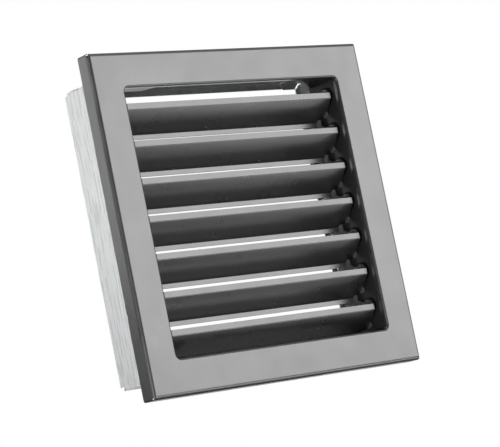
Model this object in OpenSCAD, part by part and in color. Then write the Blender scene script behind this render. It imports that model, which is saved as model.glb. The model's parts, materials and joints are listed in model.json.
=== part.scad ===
// Louvred air grille with gang-operated louvres and a sheet-metal wall sleeve.
// Origin: centre of the wall opening at the finished wall face.
// +X to the right seen from the room, +Y into the wall, +Z up. Millimetres.

/* [Front frame] */
// Width and height of the front frame
face_size = 220; // [218:1:226]
// Width of the frame's flat border
border = 23.2; // [22.5:0.1:24]
// Depth of the frame's folded outer lip, from the wall to the front face
lip_depth = 11.6; // [10:0.2:14]
// Thickness of the frame's sheet
frame_t = 1.2; // [0.8:0.1:1.5]
// Depth of the flange turned back round the frame's opening
return_depth = 4; // [2.5:0.5:4]
// Outside radius of the bends along the frame's edges
bend_r = 2.6; // [1.8:0.1:3]
// Corner radius of the frame's opening
opening_corner_r = 3; // [2:0.5:5]

/* [Wall sleeve] */
// Outside width and height of the sleeve
sleeve_size = 195; // [193:1:198]
// Depth of the sleeve behind the wall face
sleeve_depth = 40; // [34:0.5:60]
// Thickness of the sleeve's sheet
sleeve_t = 1; // [0.8:0.1:1.2]
// Width of the flange turned in at the sleeve's rear
rear_flange = 5; // [4:0.5:6]
// Width of the flange turned out at the wall face
wall_flange = 6; // [4:0.5:8]
// Length of the lapped tab at two of the sleeve's corners
lap_length = 18.5; // [14:0.5:24]
// Width of the open mitre between the rear flanges
mitre_gap = 1.8; // [1:0.1:2.5]
// Height of the sloping cut at the walls' rear corners
corner_cut = 2.2; // [1:0.1:2.8]

/* [Louvres] */
// Number of louvres
louvre_count = 7; // [5:1:7]
// Distance from one louvre to the next
pitch = 24.3; // [24:0.1:24.6]
// Length of a louvre blade
blade_length = 167; // [160:1:168]
// Thickness of a louvre blade
blade_t = 0.8; // [0.6:0.1:1]
// Height of the upright strip at the blade's nose
nose_height = 4; // [3:0.5:5]
// Radius of the blade's bowed middle
belly_r = 45; // [42:0.5:50]
// Downward slope of the blade's middle where it meets the rear lip, in degrees
rear_slope = 26; // [25:1:27]
// Height of the lip at the blade's rear
rear_lip = 3.3; // [2.5:0.1:3.5]
// Length by which the blade's rear corners are notched
lip_cut = 3.5; // [2:0.5:5]

/* [Side plates and links] */
// Thickness of the side plates
plate_t = 1; // [0.8:0.1:1.2]
// Depth at which a side plate ends, measured from the front face
plate_end = 31.5; // [30:0.5:36]
// Width of the link bar between its eyes
bar_width = 7.2; // [6:0.2:8]
// Radius of the link bar's eyes
eye_r = 7; // [6:0.5:7]
// Radius of the pivot pins and crank pins
pin_r = 1.5; // [1.3:0.1:1.6]
// Running clearance between a pin and its bore, on the radius
running = 0.05; // [0.02:0.01:0.09]

/* [Hidden] */
$fn = 48;
eps = 0.01;

// Planes measured along Y
front_y = -lip_depth;
frame_inner_y = front_y + frame_t;

// Half sizes measured along X and Z
half_face = face_size / 2;
half_open = half_face - border;
half_sleeve = sleeve_size / 2;
plate_x = half_open + frame_t;
blade_end_x = blade_length / 2;

// Louvre pivots: one for each louvre, counted from the top
pivot_y = front_y + 14.5;
pivot_mid_z = 4.1;
function pivot_z(k) = pivot_mid_z + ((louvre_count + 1) / 2 - k) * pitch;

// Blade section about the pivot, as [y, z]: nose, centre of the bowed middle and its two end angles
nose_y = -9;
nose_top = 0.7;
lip_y = 7;
belly_y = lip_y + belly_r * sin(rear_slope);
belly_rise = sqrt(pow(belly_r, 2) - pow(belly_y - nose_y, 2));
belly = [belly_y, nose_top - nose_height + belly_rise];
belly_from = 180 + atan2(belly_rise, belly_y - nose_y);
belly_to = 270 - rear_slope;
belly_steps = 12;
belly_step = (belly_to - belly_from) / belly_steps;
lip_top = belly[1] + belly_r * sin(belly_to);
notch_depth = 2.4;

// Crank pin about the pivot, as [y, z]
crank = [11.7, 1];

// Stack of parts between a blade's end and the side plate, along X
bracket_t = 0.8;
bracket_out_x = blade_end_x + bracket_t;
bar_t = 1;
bar_x = bracket_out_x + 0.4;
washer_x = bar_x + bar_t + 0.1;
washer_t = 0.5;
bush_x = plate_x - 1;
pin_tip_x = plate_x + plate_t + 1.6;

// Gussets of the side plates
gusset_top_z = 87;
gusset_bottom_z = -92.4;
gusset_y = front_y + return_depth + 0.3;
right_gusset_reach = 28;
left_gusset_reach = 25.5;
left_gusset_depth = 8.5;

// Spring clips: height of each clip, and their width
clip_mid_z = [40.55, -32.35];
clip_width = 10;
clip_t = 0.5;
clip_rivet_y = 15;
clip_rivet_r = 1.5;
clip_crest_x = half_sleeve - sleeve_t - 0.4;

// Rivets through the sleeve's laps
lap_rivet_x = half_sleeve - lap_length / 2;
lap_rivet_y = sleeve_depth / 2;
lap_rivet_r = 1.6;
rivet_head_h = 0.8;

// End brackets: eyes, foot, and stop lug as [y, z] about the pivot
pivot_eye_r = 3.6;
crank_eye_r = 3.4;
foot_length = 7;
lug = [0.6, -12.4];
lug_r = 2.4;

// Pins and bushes
head_r = 2.6;
head_h = 0.8;
collar_r = 4.7;
collar_t = 0.9;
bush_flange_r = 6;
bush_shank_r = 3;

// Link bar
bar_y = pivot_y + crank[0];
crank_z = [for (k = [1:louvre_count]) pivot_z(k) + crank[1]];
bar_top_z = crank_z[0] + 3;
bar_bottom_z = crank_z[louvre_count - 1] - 4.5;

frame_colour = [0.67, 0.68, 0.67];
louvre_colour = [0.62, 0.62, 0.61];
plate_colour = [0.14, 0.14, 0.15];
zinc_colour = [0.72, 0.73, 0.72];
galvanised_colour = [0.78, 0.81, 0.80];
bush_colour = [0.05, 0.05, 0.05];
bar_colour = [0.36, 0.36, 0.37];
spring_colour = [0.45, 0.46, 0.48];

LOUVRE_PARTS = ["blade", "brackets", "pivot_pins", "crank_pin"];
FIXED_NODES = ["sleeve_upper", "sleeve_lower", "sleeve_rivets", "front_frame",
    "left_side_plate", "right_side_plate", "left_pivot_bushes", "right_pivot_bushes",
    "left_spring_clips", "right_spring_clips", "clip_rivets", "link_bar"];

// Points of an arc about c, from angle a to angle b, in n steps
function arc(c, r, a, b, n) = [for (i = [0:n]) let (t = a + (b - a) * i / n) c + r * [cos(t), sin(t)]];
function unit(v) = v / norm(v);
function left_of(v) = [-v[1], v[0]];

// Left normal of a path at point i, scaled so that a ribbon keeps its thickness round a corner
function corner_normal(path, i) = let(
        last = len(path) - 1,
        before = left_of(unit(path[max(i, 1)] - path[max(i, 1) - 1])),
        after = left_of(unit(path[min(i + 1, last)] - path[min(i, last - 1)])),
        sum = before + after)
    2 * sum / (sum * sum);

// A path made into a strip of thickness t, laid on its left
module ribbon(path, t) {
    last = len(path) - 1;
    polygon(concat(path, [for (i = [last:-1:0]) path[i] + t * corner_normal(path, i)]));
}

// A shape drawn in [x, z] and extruded along Y from y to y + depth
module along_y(y, depth) translate([0, y + depth, 0]) rotate([90, 0, 0]) linear_extrude(depth) children();

// A shape drawn in [y, z] and extruded along X from x to x + width
module along_x(x, width) translate([x, 0, 0]) rotate([90, 0, 90]) linear_extrude(width) children();

// A cylinder along X about a point given as [y, z]
module rod_x(x, width, r, at) translate([x, at[0], at[1]]) rotate([0, 90, 0]) cylinder(r = r, h = width);

// A square of half size h with round corners of radius r, made of true arcs
module round_square(h, r) {
    square([2 * h, 2 * (h - r)], center = true);
    square([2 * (h - r), 2 * h], center = true);
    for (sx = [-1, 1], sz = [-1, 1]) translate([sx, sz] * (h - r)) circle(r);
}

// Everything on one side of a square ring: the wedge between two mitres, on +Z
module mitre_wedge() polygon([[0, 0], [half_face + 1, half_face + 1], [-half_face - 1, half_face + 1]]);

// Front frame: one pressed sheet with a folded outer lip and a flange round its opening
module front_frame() color(frame_colour) {
    along_y(front_y, frame_t) difference() {
        square(2 * (half_face - bend_r), center = true);
        round_square(half_open, opening_corner_r);
    }
    for (side = [0:3]) rotate([0, 90 * side, 0]) intersection() {
        along_x(-half_face, face_size) lip_section();
        along_y(front_y - 1, lip_depth + 2) mitre_wedge();
    }
    along_y(front_y, return_depth) difference() {
        round_square(half_open + frame_t, opening_corner_r + frame_t);
        round_square(half_open, opening_corner_r);
    }
}

// Outer bend and lip of the frame's upper side, as [y, z]
module lip_section() {
    centre = [front_y + bend_r, half_face - bend_r];
    translate([front_y + bend_r, half_face - frame_t]) square([lip_depth - bend_r, frame_t]);
    intersection() {
        translate(centre) difference() {
            circle(bend_r);
            circle(bend_r - frame_t);
        }
        translate(centre - [bend_r, 0]) square(bend_r);
    }
}

// One half of the sleeve: right wall with a tab folded under the upper wall, and lower wall
module sleeve_half() difference() {
    union() {
        along_y(0, sleeve_depth - sleeve_t) sleeve_walls();
        along_y(sleeve_depth - sleeve_t - eps, sleeve_t + eps)
            half_ring(half_sleeve - rear_flange, half_sleeve);
        along_y(-sleeve_t, sleeve_t + eps) half_ring(half_sleeve - sleeve_t, half_sleeve + wall_flange);
        along_y(sleeve_depth - 2 * sleeve_t, sleeve_t) lap_flange();
    }
    for (side = [0:3]) rotate([0, 90 * side, 0]) rear_corner_cuts();
    for (s = [-1, 1]) translate([s * lap_rivet_x, lap_rivet_y, s * half_sleeve])
        cylinder(r = lap_rivet_r + running, h = 6 * sleeve_t, center = true);
}

// At one rear corner: the open mitre between two flanges, and both walls' sloping cuts
module rear_corner_cuts() {
    flange_corner = (half_sleeve - rear_flange) * sqrt(2);
    rotate([0, 45, 0]) translate([flange_corner - 1, sleeve_depth - 2.5 * sleeve_t, -mitre_gap / 2])
        cube([rear_flange * sqrt(2) + 2, 3 * sleeve_t, mitre_gap]);
    along_x(half_sleeve - corner_cut, corner_cut + 1) corner_waste();
    rotate([0, 90, 0]) mirror([0, 0, 1]) along_x(half_sleeve - corner_cut, corner_cut + 1) corner_waste();
}

// What a sloping rear corner of a wall leaves off, as [y, -z]
module corner_waste() polygon([
    [sleeve_depth - 2.3 * corner_cut, -half_sleeve], [sleeve_depth, corner_cut - half_sleeve],
    [sleeve_depth + 1, corner_cut - half_sleeve], [sleeve_depth + 1, -half_sleeve - 1],
    [sleeve_depth - 2.3 * corner_cut, -half_sleeve - 1]]);

// Walls of the lower half, as [x, z]
module sleeve_walls() {
    difference() {
        union() {
            translate([half_sleeve - bend_r, -half_sleeve + bend_r]) circle(bend_r);
            translate([half_sleeve - sleeve_t, -half_sleeve + bend_r])
                square([sleeve_t, sleeve_size - bend_r - sleeve_t]);
            translate([-half_sleeve, -half_sleeve]) square([sleeve_size - bend_r, sleeve_t]);
        }
        translate([half_sleeve - bend_r, -half_sleeve + bend_r]) circle(bend_r - sleeve_t);
        translate([half_sleeve - 2 * bend_r, -half_sleeve + sleeve_t]) square([bend_r, 2 * bend_r]);
        translate([half_sleeve - bend_r - eps, -half_sleeve + bend_r])
            square([bend_r - sleeve_t + eps, bend_r]);
    }
    translate([half_sleeve - lap_length, half_sleeve - 2 * sleeve_t]) square([lap_length, sleeve_t]);
}

// Right and lower sides of a square ring between two half sizes, as [x, z]
module half_ring(inner, outer) {
    top = half_sleeve - sleeve_t;
    polygon([[inner, -inner], [inner, inner], [top, top], [outer, top], [outer, -outer],
        [-outer, -outer], [-inner, -inner]]);
}

// Flange of the lapped tab, with slanted ends, as [x, z]
module lap_flange() {
    low = half_sleeve - rear_flange - 0.8;
    polygon([[half_sleeve - lap_length + 2, low], [half_sleeve - 4.5, low],
        [half_sleeve - 2, half_sleeve - sleeve_t], [half_sleeve - lap_length, half_sleeve - sleeve_t]]);
}

module sleeve_upper() color(galvanised_colour) rotate([0, 180, 0]) sleeve_half();
module sleeve_lower() color(galvanised_colour) sleeve_half();

// Round-headed rivets through the two laps
module sleeve_rivets() color(zinc_colour) for (s = [0, 180]) rotate([0, s, 0])
    translate([lap_rivet_x, lap_rivet_y, half_sleeve - 2 * sleeve_t - rivet_head_h]) {
        cylinder(r = lap_rivet_r, h = 2 * (sleeve_t + rivet_head_h));
        for (z = [0, 2 * sleeve_t + rivet_head_h]) translate([0, 0, z])
            cylinder(r = 2 * lap_rivet_r, h = rivet_head_h);
    }

// Side plate without gussets on side s: -1 left, 1 right
module side_plate(s) difference() {
    along_x(s > 0 ? plate_x : -plate_x - plate_t, plate_t)
        translate([frame_inner_y + 0.2, gusset_bottom_z])
            square([front_y + plate_end - frame_inner_y - 0.2, gusset_top_z + plate_t - gusset_bottom_z]);
    hole_x = s * (plate_x + plate_t / 2) - plate_t;
    for (k = [1:louvre_count]) rod_x(hole_x, 2 * plate_t, bush_shank_r + running, [pivot_y, pivot_z(k)]);
    for (z = clip_mid_z) rod_x(hole_x, 2 * plate_t, clip_rivet_r + running, [clip_rivet_y, z]);
}

// Right side plate, stiffened by triangular gussets bent in at both ends
module right_side_plate() color(plate_colour) {
    side_plate(1);
    for (z = [gusset_bottom_z, gusset_top_z]) translate([0, 0, z]) linear_extrude(plate_t) polygon([
        [plate_x + plate_t, gusset_y], [plate_x - right_gusset_reach, gusset_y],
        [plate_x, front_y + plate_end - 2], [plate_x + plate_t, front_y + plate_end - 2]]);
}

// Left side plate, with a shallow tab bent in at both ends
module left_side_plate() color(plate_colour) {
    side_plate(-1);
    for (z = [gusset_bottom_z, gusset_top_z]) translate([0, 0, z]) linear_extrude(plate_t) polygon([
        [-plate_x - plate_t, gusset_y], [-plate_x + left_gusset_reach + 3, gusset_y],
        [-plate_x + left_gusset_reach - 3, gusset_y + left_gusset_depth],
        [-plate_x - plate_t, gusset_y + left_gusset_depth]]);
}

// One flanged snap-in bush on side s, about the pivot of louvre k
module pivot_bush(s, k) translate([0, pivot_y, pivot_z(k)]) rotate([0, s * 90, 0]) difference() {
    union() {
        translate([0, 0, bush_x]) cylinder(r = bush_flange_r, h = plate_x - bush_x);
        translate([0, 0, plate_x - eps]) cylinder(r = bush_shank_r, h = plate_t + 1);
        translate([0, 0, plate_x + plate_t + running]) cylinder(r = bush_shank_r + 0.7, h = 0.8);
    }
    cylinder(r = pin_r + running, h = half_face);
}
module left_pivot_bushes() color(bush_colour) for (k = [1:louvre_count]) pivot_bush(-1, k);
module right_pivot_bushes() color(bush_colour) for (k = [1:louvre_count]) pivot_bush(1, k);

// Bowed leaf that presses on the sleeve's right wall, as [x, y] from its foot to its free end
clip_foot_x = plate_x + plate_t + clip_t;
clip_path = concat([[clip_foot_x, clip_rivet_y + 4], [clip_foot_x, clip_rivet_y - 4]],
    arc([clip_crest_x - 4, 2], 4, 40, -50, 6), [[clip_foot_x + 2, -4]]);
module spring_clips() for (z = clip_mid_z) difference() {
    translate([0, 0, z - clip_width / 2]) linear_extrude(clip_width) ribbon(clip_path, -clip_t);
    rod_x(plate_x, 4, clip_rivet_r + running, [clip_rivet_y, z]);
}
module right_spring_clips() color(spring_colour) spring_clips();
module left_spring_clips() color(spring_colour) mirror([1, 0, 0]) spring_clips();

// Rivets that hold the clips to the side plates
module clip_rivets() color(zinc_colour) for (s = [0, 1], z = clip_mid_z) mirror([s, 0, 0]) {
    rod_x(plate_x - 0.6, plate_t + clip_t + 1.2, clip_rivet_r, [clip_rivet_y, z]);
    rod_x(plate_x - 0.6, 0.6, 2.8, [clip_rivet_y, z]);
    rod_x(plate_x + plate_t + clip_t, 0.6, 2.8, [clip_rivet_y, z]);
}

// Blade of louvre k: upright nose, bowed middle and rear lip, with both rear corners notched
blade_path = concat([[nose_y, nose_top]], arc(belly, belly_r, belly_from, belly_to, belly_steps),
    [[lip_y, lip_top - rear_lip]]);
module blade(k) color(louvre_colour) translate([0, pivot_y, pivot_z(k)]) difference() {
    along_x(-blade_end_x, blade_length) ribbon(blade_path, blade_t);
    for (x = [-blade_end_x - 1, blade_end_x - lip_cut])
        translate([x, lip_y - notch_depth, lip_top - rear_lip - 1])
            cube([lip_cut + 1, notch_depth + 2, rear_lip + 3]);
}

// Outline of an end bracket about the pivot: pivot eye, web down to the blade, stop lug, and crank arm if
// wanted
module bracket_outline(with_crank) {
    front_foot = belly + (belly_r - blade_t) * [cos(226), sin(226)];
    rear_foot = belly + (belly_r - blade_t) * [cos(240), sin(240)];
    circle(pivot_eye_r);
    polygon([[-pivot_eye_r, 0], front_foot, lug, rear_foot, [pivot_eye_r, 0]]);
    translate(lug) circle(lug_r);
    if (with_crank) {
        translate(crank) circle(crank_eye_r);
        polygon([[0, pivot_eye_r], crank + [0, crank_eye_r], crank - [0, crank_eye_r], rear_foot, [0, -4]]);
    }
}

// End brackets of louvre k: a plate on each end, with a foot on the blade's upper side
module brackets(k) color(bar_colour) translate([0, pivot_y, pivot_z(k)]) for (s = [0, 1]) mirror([s, 0, 0]) {
    difference() {
        along_x(blade_end_x, bracket_t) bracket_outline(s == 0);
        rod_x(blade_end_x - 1, 3, pin_r, [0, 0]);
        if (s == 0) rod_x(blade_end_x - 1, 3, pin_r, crank);
    }
    along_x(blade_end_x - foot_length, foot_length + eps)
        ribbon(arc(belly, belly_r - blade_t - eps, belly_from + 4 * belly_step, belly_from + 9 * belly_step, 5),
            bracket_t);
}

// Headed pivot pins riveted into the brackets of louvre k, each with a collar that faces the bush
module pivot_pins(k) color(zinc_colour) translate([0, pivot_y, pivot_z(k)]) for (s = [0, 1]) mirror([s, 0, 0]) {
    rod_x(blade_end_x - head_h, pin_tip_x - blade_end_x + head_h, pin_r, [0, 0]);
    rod_x(blade_end_x - head_h, head_h, head_r, [0, 0]);
    rod_x(bracket_out_x, bush_x - bracket_out_x - 0.3, head_r, [0, 0]);
    rod_x(bush_x - 0.3 - collar_t, collar_t, collar_r, [0, 0]);
}

// Crank pin of louvre k, with the push-on washer that keeps the link bar on it
module crank_pin(k) color(zinc_colour) translate([0, pivot_y, pivot_z(k)]) {
    rod_x(blade_end_x - head_h, washer_x + washer_t + 0.1 - blade_end_x + head_h, pin_r, crank);
    rod_x(blade_end_x - head_h, head_h, head_r, crank);
    rod_x(bracket_out_x, 0.3, head_r, crank);
    difference() {
        rod_x(washer_x, washer_t, 3.2, crank);
        rod_x(washer_x - 1, 3, pin_r + eps, crank);
    }
}

// Link bar that joins the crank pins, so that the louvres turn together
module link_bar() color(bar_colour) difference() {
    along_x(bar_x, bar_t) {
        translate([bar_y - bar_width / 2, bar_bottom_z]) square([bar_width, bar_top_z - bar_bottom_z]);
        for (z = crank_z) translate([bar_y, z]) intersection() {
            circle(eye_r);
            square([2 * eye_r, 9], center = true);
        }
    }
    for (z = crank_z) rod_x(bar_x - 1, 3, pin_r + running, [bar_y, z]);
}

sleeve_upper();
sleeve_lower();
sleeve_rivets();
front_frame();
left_side_plate();
right_side_plate();
left_pivot_bushes();
right_pivot_bushes();
left_spring_clips();
right_spring_clips();
clip_rivets();
link_bar();
for (k = [1:louvre_count]) {
    blade(k);
    brackets(k);
    pivot_pins(k);
    crank_pin(k);
}
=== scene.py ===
"""Louvred air grille: the looks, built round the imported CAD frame.

The pressed front frame, the louvre blades and the spring leaves are remade here as finely bent
sheet; every other piece is its CAD node with softened edges and a procedural material.
Lengths are in metres, and MM turns millimetres into metres.
"""
import json
import math

import bmesh
import bpy
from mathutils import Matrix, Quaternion, Vector


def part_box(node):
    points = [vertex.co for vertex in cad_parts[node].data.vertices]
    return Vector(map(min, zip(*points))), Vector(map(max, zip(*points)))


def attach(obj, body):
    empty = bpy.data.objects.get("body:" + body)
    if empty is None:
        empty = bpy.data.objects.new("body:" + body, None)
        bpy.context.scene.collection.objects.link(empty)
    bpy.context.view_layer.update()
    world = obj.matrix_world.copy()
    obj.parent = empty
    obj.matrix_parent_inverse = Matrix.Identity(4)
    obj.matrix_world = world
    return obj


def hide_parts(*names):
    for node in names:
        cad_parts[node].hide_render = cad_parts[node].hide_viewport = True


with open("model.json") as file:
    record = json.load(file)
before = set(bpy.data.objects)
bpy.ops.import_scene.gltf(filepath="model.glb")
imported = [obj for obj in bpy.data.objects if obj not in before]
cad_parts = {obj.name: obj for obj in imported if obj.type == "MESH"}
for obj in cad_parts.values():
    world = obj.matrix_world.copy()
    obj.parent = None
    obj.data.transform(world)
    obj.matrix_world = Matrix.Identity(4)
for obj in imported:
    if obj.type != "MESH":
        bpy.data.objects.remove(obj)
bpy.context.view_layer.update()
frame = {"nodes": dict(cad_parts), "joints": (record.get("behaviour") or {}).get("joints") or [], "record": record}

MM = 0.001

# Camera: the photograph's viewing angle, a little to the left of the grille and below it
AZIMUTH = math.radians(-38.125)
ELEVATION = math.radians(-7.371)
ROLL = math.radians(-11.41)
DISTANCE = 1.4604
AIM = Vector((-0.0011, 0.0, -0.0052))
LENS = 162.0

# Driving sizes read from the CAD frame
frame_low, frame_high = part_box("front_frame")
clip_low, clip_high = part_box("right_spring_clips")
HALF_FACE = frame_high.x
FRONT_Y = frame_low.y
WALL_Y = frame_high.y
BLADE_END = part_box("louvre_1_blade")[1].x
HINGES = {j["child"]: Vector(j["pos_m"]) for j in frame["joints"] if j["type"] == "hinge"}
LOUVRES = sorted(name for name in HINGES if name.startswith("louvre_"))

# Sheet thicknesses and bends
FRAME_T = 1.2 * MM
BORDER = 23.2 * MM
RETURN_DEPTH = 4 * MM
OPENING_BEND = 1.2 * MM
OUTER_BEND = 2.0 * MM
OPENING_CORNER = 3 * MM
OUTER_CORNER = 1.4 * MM
LEAF_T = 0.5 * MM
EDGE_EASE = 0.15 * MM
BEND_STEP = math.radians(6)

# Louvre blade: the front and top of its nose from the pivot, then its path from there to the rear lip
NOSE_FRONT = -9 * MM
NOSE_TOP = 0.7 * MM
BLADE_T = 0.8 * MM
NOSE_LINE = 3.59 * MM
CREASE_R = 0.8 * MM
CREASE_TURN = 37.97
BOW_R = 45 * MM
BOW_TURN = 22.28
REAR_BOW_TURN = 3.12
LIP_BEND_R = 1.2 * MM
LIP_LINE = 2.80 * MM
LIP_CUT = 3.5 * MM

# Spring clips between the side plates and the sleeve
CLIP_WIDTH = 10 * MM
CLIP_MIDDLES = (clip_high.z - CLIP_WIDTH / 2, clip_low.z + CLIP_WIDTH / 2)


# ---------------------------------------------------------------- bent sheet

def trace(start, heading, moves):
    """Centreline of bent sheet, as [(point, left normal), ...].

    A move is ("line", length) or ("bend", radius, degrees), and positive degrees turn to the left.
    """
    point, angle = Vector(start), math.radians(heading)
    path = []

    def mark():
        path.append((point.copy(), Vector((-math.sin(angle), math.cos(angle)))))

    mark()
    for move in moves:
        if move[0] == "line":
            point += move[1] * Vector((math.cos(angle), math.sin(angle)))
            mark()
            continue
        radius, turn = move[1], math.radians(move[2])
        side = math.copysign(1, turn)
        centre = point + side * radius * Vector((-math.sin(angle), math.cos(angle)))
        steps = max(2, math.ceil(abs(turn) / BEND_STEP))
        for _ in range(steps):
            angle += turn / steps
            point = centre - side * radius * Vector((-math.sin(angle), math.cos(angle)))
            mark()
    return path


def outline(path, thickness, ease=EDGE_EASE, cap_steps=4):
    """Closed section of the sheet round a centreline, with softly rounded edges."""
    left = [p + n * thickness / 2 for p, n in path]
    right = [p - n * thickness / 2 for p, n in path]

    def cap(end, outwards):
        point, normal = end
        ahead = Vector((normal.y, -normal.x)) * outwards
        points = []
        for i in range(1, cap_steps):
            a = math.pi * i / cap_steps
            across = normal * (thickness / 2 * math.cos(a)) * outwards
            points.append(point + across + ahead * ease * math.sin(a))
        return points

    return left + cap(path[-1], 1) + right[::-1] + cap(path[0], -1)


def mesh_object(name, bm, sharp=math.radians(35)):
    """A smooth-shaded object from a bmesh, with edges over the sharp angle kept crisp."""
    bmesh.ops.recalc_face_normals(bm, faces=bm.faces)
    for face in bm.faces:
        face.smooth = True
    for edge in bm.edges:
        if len(edge.link_faces) == 2 and edge.calc_face_angle() > sharp:
            edge.smooth = False
    mesh = bpy.data.meshes.new(name)
    bm.to_mesh(mesh)
    bm.free()
    obj = bpy.data.objects.new(name, mesh)
    bpy.context.scene.collection.objects.link(obj)
    flat = obj.modifiers.new("flat_faces_stay_flat", "WEIGHTED_NORMAL")
    flat.keep_sharp = True
    flat.weight = 100
    return obj


def loft(rings, closed, bm=None):
    """A bmesh that joins equal rings of points; open lofts are capped at both ends."""
    bm = bm or bmesh.new()
    rows = [[bm.verts.new(p) for p in ring] for ring in rings]
    pairs = list(zip(rows, rows[1:] + rows[:1])) if closed else list(zip(rows, rows[1:]))
    for a, b in pairs:
        for i in range(len(a)):
            j = (i + 1) % len(a)
            bm.faces.new((a[i], a[j], b[j], b[i]))
    if not closed:
        bm.faces.new(rows[0])
        bm.faces.new(rows[-1])
    bmesh.ops.remove_doubles(bm, verts=[v for row in rows for v in row], dist=0.0001 * MM)
    return bm


# ---------------------------------------------------------------- materials

class Shader:
    """A Principled material under construction, with the few node patterns that it uses."""

    def __init__(self, name, metallic, roughness):
        self.material = bpy.data.materials.new(name)
        self.material.use_nodes = True
        self.tree = self.material.node_tree
        self.bsdf = self.tree.nodes["Principled BSDF"]
        self.bsdf.inputs["Metallic"].default_value = metallic
        self.bsdf.inputs["Roughness"].default_value = roughness
        self.place = self.tree.nodes.new("ShaderNodeTexCoord").outputs["Object"]

    def stretched(self, scale):
        """Object coordinates scaled by axis, for grain that runs one way."""
        node = self.tree.nodes.new("ShaderNodeMapping")
        node.inputs["Scale"].default_value = scale
        self.tree.links.new(self.place, node.inputs["Vector"])
        return node.outputs["Vector"]

    def noise(self, scale, detail=3.0, at=None):
        node = self.tree.nodes.new("ShaderNodeTexNoise")
        node.inputs["Scale"].default_value = scale
        node.inputs["Detail"].default_value = detail
        self.tree.links.new(at or self.place, node.inputs["Vector"])
        return node.outputs["Fac"]

    def cells(self, scale):
        """Voronoi cells with one random grey each, as in zinc spangle."""
        node = self.tree.nodes.new("ShaderNodeTexVoronoi")
        node.inputs["Scale"].default_value = scale
        self.tree.links.new(self.place, node.inputs["Vector"])
        grey = self.tree.nodes.new("ShaderNodeRGBToBW")
        self.tree.links.new(node.outputs["Color"], grey.inputs["Color"])
        return grey.outputs["Val"]

    def spread(self, value, low, high, start=0.3, end=0.7):
        """The value remapped to run from low to high."""
        node = self.tree.nodes.new("ShaderNodeMapRange")
        node.inputs["From Min"].default_value = start
        node.inputs["From Max"].default_value = end
        node.inputs["To Min"].default_value = low
        node.inputs["To Max"].default_value = high
        self.tree.links.new(value, node.inputs["Value"])
        return node.outputs["Result"]

    def blend(self, factor, colour_a, colour_b):
        """A colour between two, each given as RGB or as another node's output."""
        node = self.tree.nodes.new("ShaderNodeMix")
        node.data_type = "RGBA"
        for socket, colour in ((node.inputs[6], colour_a), (node.inputs[7], colour_b)):
            if isinstance(colour, tuple):
                socket.default_value = (*colour, 1)
            else:
                self.tree.links.new(colour, socket)
        self.tree.links.new(factor, node.inputs[0])
        return node.outputs[2]

    def colour(self, output):
        self.tree.links.new(output, self.bsdf.inputs["Base Color"])

    def roughness(self, output):
        self.tree.links.new(output, self.bsdf.inputs["Roughness"])

    def bump(self, height, strength, distance):
        node = self.tree.nodes.new("ShaderNodeBump")
        node.inputs["Strength"].default_value = strength
        node.inputs["Distance"].default_value = distance
        self.tree.links.new(height, node.inputs["Height"])
        self.tree.links.new(node.outputs["Normal"], self.bsdf.inputs["Normal"])


def tint(colour, factor):
    return tuple(c * factor for c in colour)


def metallic_paint(name, colour, metallic, roughness):
    """Silver-grey paint with fine flake, a slight orange peel and uneven gloss."""
    shader = Shader(name, metallic, roughness)
    flake = shader.spread(shader.noise(9000, 1), 0, 1, 0.35, 0.65)
    cloud = shader.spread(shader.noise(14, 3), 0, 1)
    tone = shader.blend(flake, tint(colour, 0.93), tint(colour, 1.07))
    shader.colour(shader.blend(cloud, tone, colour))
    shader.roughness(shader.spread(shader.noise(60, 4), roughness - 0.03, roughness + 0.03))
    shader.bump(shader.noise(1400, 2), 0.12, 0.03 * MM)
    return shader.material


def galvanised():
    """Hot-dip zinc: faint spangle, cloudy patches and rolling streaks."""
    colour = (0.80, 0.82, 0.82)
    shader = Shader("galvanised_sheet", 0.15, 0.28)
    spangle = shader.spread(shader.cells(170), 0, 1, 0.1, 0.9)
    cloud = shader.spread(shader.noise(28, 4), 0, 1)
    tone = shader.blend(spangle, tint(colour, 0.94), tint(colour, 1.05))
    shader.colour(shader.blend(cloud, tone, tint(colour, 1.02)))
    streaks = shader.noise(40, 3, shader.stretched((1, 14, 1)))
    shader.roughness(shader.spread(streaks, 0.24, 0.33))
    shader.bump(shader.cells(170), 0.08, 0.02 * MM)
    return shader.material


def plated(name, colour, metallic, roughness, grain=(1, 1, 1)):
    """Zinc-plated or rolled steel with fine scratches along its grain."""
    shader = Shader(name, metallic, roughness)
    scratches = shader.noise(900, 3, shader.stretched(grain))
    shader.colour(shader.blend(shader.spread(scratches, 0, 1), tint(colour, 0.86), tint(colour, 1.1)))
    shader.roughness(shader.spread(shader.noise(200, 3), roughness - 0.06, roughness + 0.06))
    shader.bump(scratches, 0.1, 0.02 * MM)
    return shader.material


def moulded_nylon():
    """Black nylon with the fine texture of the mould."""
    shader = Shader("bush_nylon", 0.0, 0.48)
    shader.colour(shader.blend(shader.noise(500, 3), (0.012, 0.012, 0.013), (0.022, 0.022, 0.023)))
    shader.bump(shader.noise(3500, 2), 0.15, 0.03 * MM)
    return shader.material


MATERIALS = {
    "frame_paint": metallic_paint("frame_paint", (0.42, 0.425, 0.42), 0.92, 0.30),
    "louvre_paint": metallic_paint("louvre_paint", (0.42, 0.42, 0.42), 0.92, 0.29),
    "dark_paint": metallic_paint("dark_paint", (0.12, 0.118, 0.116), 0.0, 0.26),
    "galvanised_sheet": galvanised(),
    "zinc_fasteners": plated("zinc_fasteners", (0.62, 0.63, 0.62), 0.6, 0.32),
    "link_steel": plated("link_steel", (0.42, 0.42, 0.43), 0.1, 0.42, (1, 1, 0.08)),
    "spring_steel": plated("spring_steel", (0.30, 0.31, 0.34), 0.9, 0.30, (1, 0.1, 1)),
    "bush_nylon": moulded_nylon(),
}


# ---------------------------------------------------------------- pieces

def finish_piece(obj, body, slot, *nodes):
    """Gives a new piece the material of its slot and its body, and hides the CAD nodes that it stands for."""
    obj.data.materials.append(MATERIALS[slot])
    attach(obj, body)
    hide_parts(*nodes)


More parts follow.
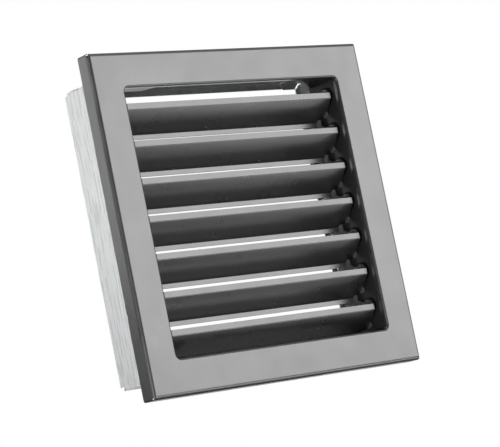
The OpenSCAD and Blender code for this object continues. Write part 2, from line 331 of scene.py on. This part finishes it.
def rounded_square(half, radius, y, steps=7):
    """Points round a square in the XZ plane with round corners."""
    points = []
    for corner in range(4):
        for i in range(steps):
            a = math.pi / 2 * (corner + i / (steps - 1))
            turn = math.pi / 2 * corner + math.pi / 4
            cx = (half - radius) * math.sqrt(2) * math.cos(turn)
            cz = (half - radius) * math.sqrt(2) * math.sin(turn)
            points.append(Vector((cx + radius * math.cos(a), y, cz + radius * math.sin(a))))
    return points


def front_frame():
    """Pressed frame: flange round the opening, flat border and folded outer lip, swept round the square."""
    half_open = HALF_FACE - BORDER
    start = (half_open + FRAME_T / 2, FRONT_Y + RETURN_DEPTH)
    flat = BORDER - FRAME_T - OPENING_BEND - OUTER_BEND
    path = trace(start, -90, [
        ("line", RETURN_DEPTH - FRAME_T / 2 - OPENING_BEND),
        ("bend", OPENING_BEND, 90),
        ("line", flat),
        ("bend", OUTER_BEND, 90),
        ("line", WALL_Y - FRONT_Y - FRAME_T / 2 - OUTER_BEND - EDGE_EASE),
    ])
    middle = half_open + BORDER / 2
    rings = []
    for h, y in outline(path, FRAME_T):
        if h < middle:
            radius = OPENING_CORNER + (h - half_open)
        else:
            radius = max(0.1 * MM, OUTER_CORNER - (HALF_FACE - h))
        rings.append(rounded_square(h, radius, y))
    obj = mesh_object("front_frame_pressing", loft(rings, closed=True))
    finish_piece(obj, "grille", "frame_paint", "front_frame")


def blade(louvre):
    """Louvre blade: upright nose, crease, bowed middle and rear lip, with a notch at both rear corners.

    The lip turns back through all the other bends, so it hangs upright as the nose does.
    """
    pivot = HINGES[louvre]
    nose = Vector((NOSE_FRONT + BLADE_T / 2, NOSE_TOP - EDGE_EASE))
    moves = [
        ("line", NOSE_LINE - EDGE_EASE),
        ("bend", CREASE_R, CREASE_TURN),
        ("bend", BOW_R - BLADE_T / 2, BOW_TURN),
        ("bend", BOW_R - BLADE_T / 2, REAR_BOW_TURN),
        ("bend", LIP_BEND_R, -(CREASE_TURN + BOW_TURN + REAR_BOW_TURN)),
        ("line", LIP_LINE - EDGE_EASE),
    ]
    whole, notched = trace(nose, -90, moves), trace(nose, -90, moves[:3])
    lip_end = BLADE_END - LIP_CUT
    bm = bmesh.new()
    for path, stations in (
        (notched, ((-BLADE_END, True), (EDGE_EASE - BLADE_END, False), (-lip_end, False))),
        (whole, ((-lip_end, False), (lip_end, False))),
        (notched, ((lip_end, False), (BLADE_END - EDGE_EASE, False), (BLADE_END, True))),
    ):
        full, eased = outline(path, BLADE_T), outline(path, BLADE_T - 2 * EDGE_EASE, EDGE_EASE / 2)
        rings = []
        for x, at_end in stations:
            section = eased if at_end else full
            rings.append([Vector((x, pivot.y + y, pivot.z + z)) for y, z in section])
        loft(rings, closed=False, bm=bm)
    obj = mesh_object(louvre + "_sheet", bm)
    finish_piece(obj, louvre, "louvre_paint", louvre + "_blade")


def spring_leaves(side, sign):
    """Both bowed leaves of one side, each a strip that presses on the sleeve's wall."""
    path = trace((clip_low.x + LEAF_T / 2, clip_high.y), -90, [
        ("line", 6.6 * MM),
        ("bend", 3 * MM, 40),
        ("line", 7.7 * MM),
        ("bend", 3.75 * MM, -90),
        ("line", 4.2 * MM),
    ])
    bm = bmesh.new()
    for middle in CLIP_MIDDLES:
        rings = []
        for z in (middle - CLIP_WIDTH / 2, middle + CLIP_WIDTH / 2):
            rings.append([Vector((sign * x, y, z)) for x, y in outline(path, LEAF_T, 0.1 * MM)])
        loft(rings, closed=False, bm=bm)
    obj = mesh_object(side + "_spring_leaves", bm)
    finish_piece(obj, "grille", "spring_steel", side + "_spring_clips")


def soften(node, slot, width):
    """A CAD node with eased edges and its material."""
    obj = frame["nodes"][node]
    obj.data.materials.clear()
    obj.data.materials.append(MATERIALS[slot])
    weld = obj.modifiers.new("weld", "WELD")
    weld.merge_threshold = 0.001 * MM
    flatten = obj.modifiers.new("flatten", "DECIMATE")
    flatten.decimate_type = "DISSOLVE"
    flatten.angle_limit = math.radians(0.5)
    bevel = obj.modifiers.new("ease", "BEVEL")
    bevel.width = width
    bevel.segments = 2
    bevel.limit_method = "ANGLE"
    bevel.angle_limit = math.radians(40)
    bevel.use_clamp_overlap = True
    normals = obj.modifiers.new("flat_faces_stay_flat", "WEIGHTED_NORMAL")
    normals.keep_sharp = True


front_frame()
for louvre in LOUVRES:
    blade(louvre)
spring_leaves("left", -1)
spring_leaves("right", 1)
slots = {s["node"]: s["material_slot"] for s in frame["record"]["subparts"]}
EASE = {
    "sleeve_upper": 0.25 * MM,
    "sleeve_lower": 0.25 * MM,
    "left_side_plate": 0.2 * MM,
    "right_side_plate": 0.2 * MM,
    "link_bar": 0.2 * MM,
}
for node, obj in frame["nodes"].items():
    if not obj.hide_render:
        soften(node, slots[node], EASE.get(node, 0.15 * MM))


# ---------------------------------------------------------------- camera, light and stage

FLOOR_Z = -1.6
FLOOR_SIZE = 8.0
FLOOR_LIGHT_Z = FLOOR_Z + 0.45
FLOOR_RADIANCE = 0.9

# Softboxes that face the grille: azimuth and elevation in degrees, distance, width and height in metres,
# radiance, and spread in degrees
SOFTBOXES = {
    "key": (38, 9, 1.6, 1.6, 0.9, 1.0, 180),
    "side": (-92, 46, 0.9, 0.1, 0.4, 2.0, 30),
    "side_low": (-92, -30, 0.9, 0.1, 0.4, 0.8, 30),
    "fill": (-50, -14, 1.5, 0.6, 0.3, 4.0, 180),
    "rim": (-142, 16, 1.2, 0.6, 0.5, 0.48, 180),
    "low": (43, -40, 1.0, 0.66, 0.36, 0.68, 180),
    "back": (134, -8, 1.6, 1.3, 0.5, 0.84, 180),
    "behind": (180, 6, 1.6, 0.9, 0.6, 0.6, 180),
    "top": (0, 80, 1.2, 0.8, 0.8, 0.45, 180),
}


def make_camera():
    back = Vector((
        math.sin(AZIMUTH) * math.cos(ELEVATION),
        -math.cos(AZIMUTH) * math.cos(ELEVATION),
        math.sin(ELEVATION),
    ))
    data = bpy.data.cameras.new("camera")
    data.lens = LENS
    data.sensor_width = 36
    camera = bpy.data.objects.new("camera", data)
    camera.location = AIM + back * DISTANCE
    camera.rotation_mode = "QUATERNION"
    camera.rotation_quaternion = Quaternion(-back, -ROLL) @ (-back).to_track_quat("-Z", "Y")
    bpy.context.scene.collection.objects.link(camera)
    bpy.context.scene.camera = camera


def softbox(name, azimuth, elevation, distance, width, height, radiance, spread):
    """A rectangular area light that faces the grille and doesn't show itself."""
    data = bpy.data.lights.new(name, "AREA")
    data.shape = "RECTANGLE"
    data.size, data.size_y = width, height
    data.spread = math.radians(spread)
    data.energy = radiance * math.pi * width * height
    light = bpy.data.objects.new(name, data)
    a, e = math.radians(azimuth), math.radians(elevation)
    towards = Vector((math.sin(a) * math.cos(e), -math.cos(a) * math.cos(e), math.sin(e)))
    light.location = towards * distance
    light.rotation_euler = towards.to_track_quat("Z", "Y").to_euler()
    light.visible_camera = False
    bpy.context.scene.collection.objects.link(light)


def make_world():
    """White to the camera, and for everything else a soft studio sky that is brighter to the right."""
    world = bpy.data.worlds.new("studio")
    bpy.context.scene.world = world
    world.use_nodes = True
    tree = world.node_tree
    nodes, links = tree.nodes, tree.links
    sky = nodes["Background"]
    direction = nodes.new("ShaderNodeTexCoord").outputs["Generated"]
    aim = nodes.new("ShaderNodeVectorMath")
    aim.operation = "DOT_PRODUCT"
    aim.inputs[1].default_value = Vector((0.90, -0.35, 0.30)).normalized()
    links.new(direction, aim.inputs[0])
    ramp = nodes.new("ShaderNodeMapRange")
    ramp.interpolation_type = "SMOOTHSTEP"
    ramp.inputs["From Min"].default_value = 0.0
    ramp.inputs["From Max"].default_value = 0.9
    ramp.inputs["To Min"].default_value = 0.03
    ramp.inputs["To Max"].default_value = 0.20
    links.new(aim.outputs["Value"], ramp.inputs["Value"])
    links.new(ramp.outputs["Result"], sky.inputs["Strength"])
    white = nodes.new("ShaderNodeBackground")
    mix = nodes.new("ShaderNodeMixShader")
    seen = nodes.new("ShaderNodeLightPath")
    white.inputs["Color"].default_value = (1, 1, 1, 1)
    sky.inputs["Color"].default_value = (1, 1, 1, 1)
    links.new(seen.outputs["Is Camera Ray"], mix.inputs[0])
    links.new(sky.outputs[0], mix.inputs[1])
    links.new(white.outputs[0], mix.inputs[2])
    links.new(mix.outputs[0], nodes["World Output"].inputs["Surface"])


def make_floor():
    """Plain pale floor well below the grille, neither mirrored in it nor lighting it."""
    bm = bmesh.new()
    bmesh.ops.create_grid(bm, x_segments=8, y_segments=8, size=FLOOR_SIZE / 2)
    floor = mesh_object("floor", bm)
    floor.location = (0, 0, FLOOR_Z)
    shader = Shader("floor", 0.0, 0.8)
    shader.colour(shader.blend(shader.noise(3, 2), (0.80, 0.80, 0.80), (0.83, 0.83, 0.83)))
    floor.data.materials.append(shader.material)
    floor.visible_glossy = False
    floor.visible_diffuse = False


def make_floor_light():
    """A light below the grille that shines down on the floor alone."""
    data = bpy.data.lights.new("floor_light", "AREA")
    data.shape = "SQUARE"
    data.size = FLOOR_SIZE
    data.energy = FLOOR_RADIANCE * math.pi * FLOOR_SIZE ** 2
    light = bpy.data.objects.new("floor_light", data)
    light.location = (0, 0, FLOOR_LIGHT_Z)
    light.visible_camera = False
    bpy.context.scene.collection.objects.link(light)


make_camera()
make_world()
make_floor()
make_floor_light()
for name, values in SOFTBOXES.items():
    softbox(name, *values)
bpy.context.scene.view_settings.view_transform = "Standard"
